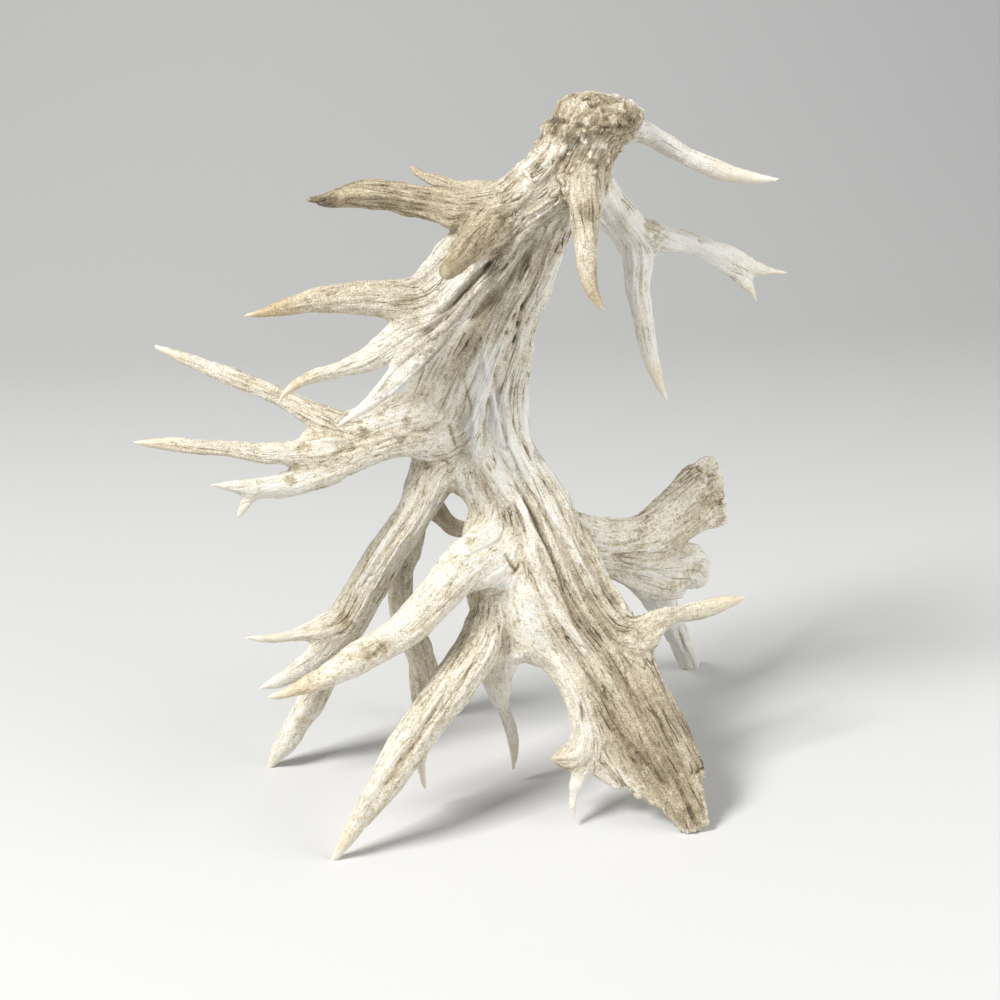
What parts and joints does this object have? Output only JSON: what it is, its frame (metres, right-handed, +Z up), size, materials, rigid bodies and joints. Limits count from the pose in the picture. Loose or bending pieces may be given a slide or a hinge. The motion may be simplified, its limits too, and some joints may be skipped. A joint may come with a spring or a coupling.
{
  "type": "whitetail deer antler",
  "caption": "Shed whitetail deer antler with a palmate beam and many tines, standing on its lower tines with the burr at the top.",
  "frame": {"origin": "on the surface that the antler stands on, under the middle of its box", "axes": "+X towards the brow tine, the antler's right as seen from its front; +Y to the back; +Z up, from the worn tips it stands on to the burr"},
  "size_m": [0.4024, 0.2519, 0.4374],
  "materials": {
    "beam_and_upper_fan_bone": "dry weathered bone, tan, rough and pearled near the burr, smoother and greyer on the fan",
    "brow_tine_bone": "dry bone, whitish grey, smooth, tan tip",
    "front_tine_bone": "dry bone, yellow tan, pale smooth tip",
    "forked_back_tine_bone": "dry bone, whitish with a brown patch at the fork",
    "trunk_and_blade_bone": "dry weathered bone, cream with tan furrows, pores and long cracks",
    "side_palm_bone": "dry bone, tan with brown patches, pale tips",
    "left_leg_bone": "dry bone, cream and tan, smooth tips",
    "rear_branch_bone": "dry bone in shade, grey brown",
    "long_tine_bone": "dry bone, cream, smooth, pale tip",
    "front_leg_bone": "dry bone, cream white with fine grooves",
    "right_tine_bone": "dry bone, cream tan",
    "rear_lobe_bone": "dry bone, cream with pits, rough brown broken end"
  },
  "bodies": {
    "root": {"beam_and_upper_fan": "beam_and_upper_fan_bone", "brow_tine": "brow_tine_bone", "front_tine": "front_tine_bone", "forked_back_tine": "forked_back_tine_bone", "trunk_and_blade": "trunk_and_blade_bone", "side_palm": "side_palm_bone", "left_leg": "left_leg_bone", "rear_branch": "rear_branch_bone", "long_tine": "long_tine_bone", "front_leg": "front_leg_bone", "right_tine": "right_tine_bone", "rear_lobe": "rear_lobe_bone"}
  },
  "joints": []
}
